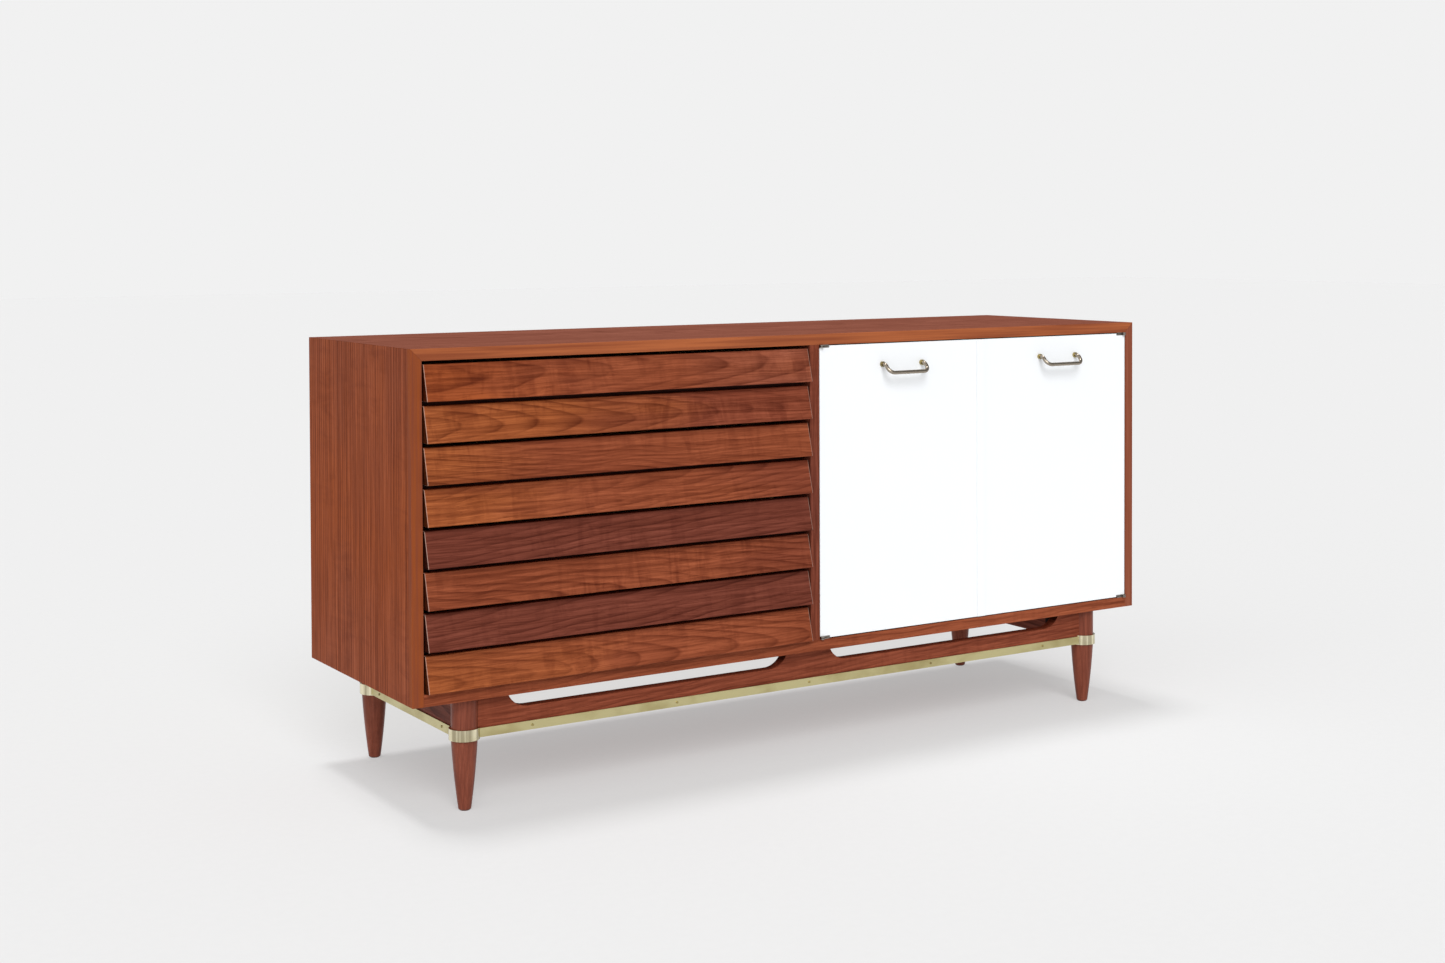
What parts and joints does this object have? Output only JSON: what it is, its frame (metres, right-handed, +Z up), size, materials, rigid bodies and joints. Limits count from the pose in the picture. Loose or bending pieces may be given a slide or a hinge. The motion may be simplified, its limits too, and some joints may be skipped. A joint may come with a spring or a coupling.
{
  "type": "sideboard buffet",
  "caption": "Long walnut sideboard on a scalloped base with tapered round legs and brass straps: louvre-fronted drawers on the left, a white two-door cupboard on the right.",
  "frame": {"origin": "on the floor, at the middle of the whole object's plan, pulls included", "axes": "+Z up, front faces -Y, +X to the right seen from the front"},
  "size_m": [1.676, 0.5118, 0.813],
  "materials": {
    "walnut_top": "smooth satin walnut, even red-brown",
    "walnut_case": "satin walnut veneer, straight grain",
    "walnut_slats": "satin solid walnut, figured grain",
    "walnut_base": "satin solid walnut, darker",
    "drawer_wood": "plain pale hardwood, waxed",
    "plywood": "thin plywood",
    "white_lacquer": "smooth white lacquer on wood board",
    "brass": "brushed brass, lightly tarnished",
    "nickel": "worn nickel plate",
    "steel": "plain steel"
  },
  "bodies": {
    "case": {"top_panel": "walnut_top", "left_side_panel": "walnut_case", "right_side_panel": "walnut_case", "bottom_panel": "walnut_case", "divider_panel": "walnut_case", "back_panel": "plywood", "shelf": "walnut_case", "shelf_pins": "steel", "drawer_runners": "drawer_wood", "front_rail": "walnut_base", "back_rail": "walnut_base", "left_rail": "walnut_base", "right_rail": "walnut_base", "base_blocks": "drawer_wood", "base_screws": "steel", "front_left_leg": "walnut_base", "front_right_leg": "walnut_base", "back_left_leg": "walnut_base", "back_right_leg": "walnut_base", "leg_bands": "brass", "front_strap": "brass", "side_straps": "brass", "strap_nails": "brass", "case_hinge_leaves": "steel", "door_catches": "steel"},
    "drawer_1": {"drawer_1_upper_slat": "walnut_slats", "drawer_1_lower_slat": "walnut_slats", "drawer_1_box_front": "drawer_wood", "drawer_1_sides": "drawer_wood", "drawer_1_box_back": "drawer_wood", "drawer_1_bottom": "plywood"},
    "drawer_2": {"drawer_2_upper_slat": "walnut_slats", "drawer_2_lower_slat": "walnut_slats", "drawer_2_box_front": "drawer_wood", "drawer_2_sides": "drawer_wood", "drawer_2_box_back": "drawer_wood", "drawer_2_bottom": "plywood"},
    "drawer_3": {"drawer_3_upper_slat": "walnut_slats", "drawer_3_lower_slat": "walnut_slats", "drawer_3_box_front": "drawer_wood", "drawer_3_sides": "drawer_wood", "drawer_3_box_back": "drawer_wood", "drawer_3_bottom": "plywood"},
    "drawer_4": {"drawer_4_upper_slat": "walnut_slats", "drawer_4_lower_slat": "walnut_slats", "drawer_4_box_front": "drawer_wood", "drawer_4_sides": "drawer_wood", "drawer_4_box_back": "drawer_wood", "drawer_4_bottom": "plywood"},
    "left_door_leaf": {"left_door": "white_lacquer", "left_pull": "nickel", "left_pull_collars": "brass", "left_pull_screws": "steel", "left_hinge_leaves": "steel"},
    "right_door_leaf": {"right_door": "white_lacquer", "right_pull": "nickel", "right_pull_collars": "brass", "right_pull_screws": "steel", "right_hinge_leaves": "steel", "meeting_strip": "white_lacquer"}
  },
  "joints": [
    {"name": "drawer_1_slide", "type": "slide", "parent": "case", "child": "drawer_1", "axis": [0, -1, 0], "range_m": [0, 0.36]},
    {"name": "drawer_2_slide", "type": "slide", "parent": "case", "child": "drawer_2", "axis": [0, -1, 0], "range_m": [0, 0.36]},
    {"name": "drawer_3_slide", "type": "slide", "parent": "case", "child": "drawer_3", "axis": [0, -1, 0], "range_m": [0, 0.36]},
    {"name": "drawer_4_slide", "type": "slide", "parent": "case", "child": "drawer_4", "axis": [0, -1, 0], "range_m": [0, 0.36]},
    {"name": "left_door_hinge", "type": "hinge", "parent": "case", "child": "left_door_leaf", "pos_m": [0.0155, -0.2291, 0.506], "axis": [0, 0, -1], "range_deg": [0, 85]},
    {"name": "right_door_hinge", "type": "hinge", "parent": "case", "child": "right_door_leaf", "pos_m": [0.812, -0.2291, 0.506], "axis": [0, 0, 1], "range_deg": [0, 105]}
  ]
}
